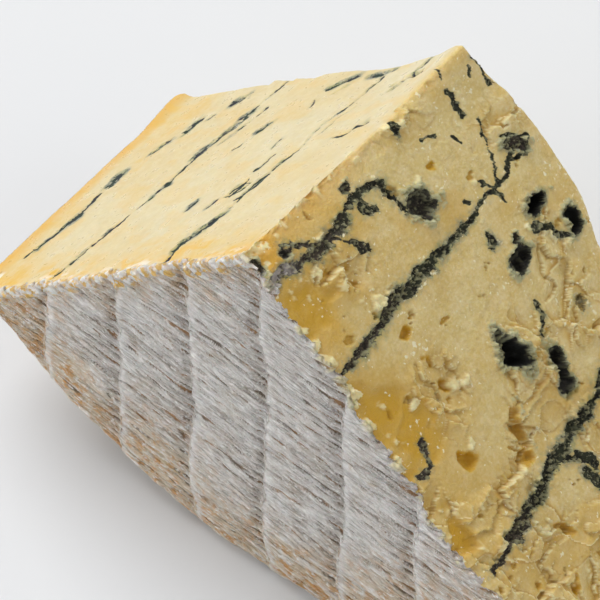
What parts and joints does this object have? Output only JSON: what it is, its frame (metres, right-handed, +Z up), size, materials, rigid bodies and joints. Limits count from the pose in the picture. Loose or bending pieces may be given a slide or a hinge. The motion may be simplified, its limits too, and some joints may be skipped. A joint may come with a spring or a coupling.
{
  "type": "cheese wedge",
  "caption": "Wedge of blue-veined cheese with a grey natural rind, standing on its rounded rim with the cut edge on top.",
  "frame": {"origin": "middle of the base, at the height the settled rim rests on", "axes": "+Y along the wheel's axis from the flat rind to the cut across the wheel, +Z up from the rim to the apex edge, +X from the smooth radial cut to the crumbly one"},
  "size_m": [0.191, 0.09, 0.1326],
  "materials": {
    "paste": "moist, waxy, crumbly cut with dark blue veins",
    "rind": "dry, ribbed, grey mould bloom"
  },
  "bodies": {
    "root": {"cheese_wedge": "paste"}
  },
  "joints": []
}
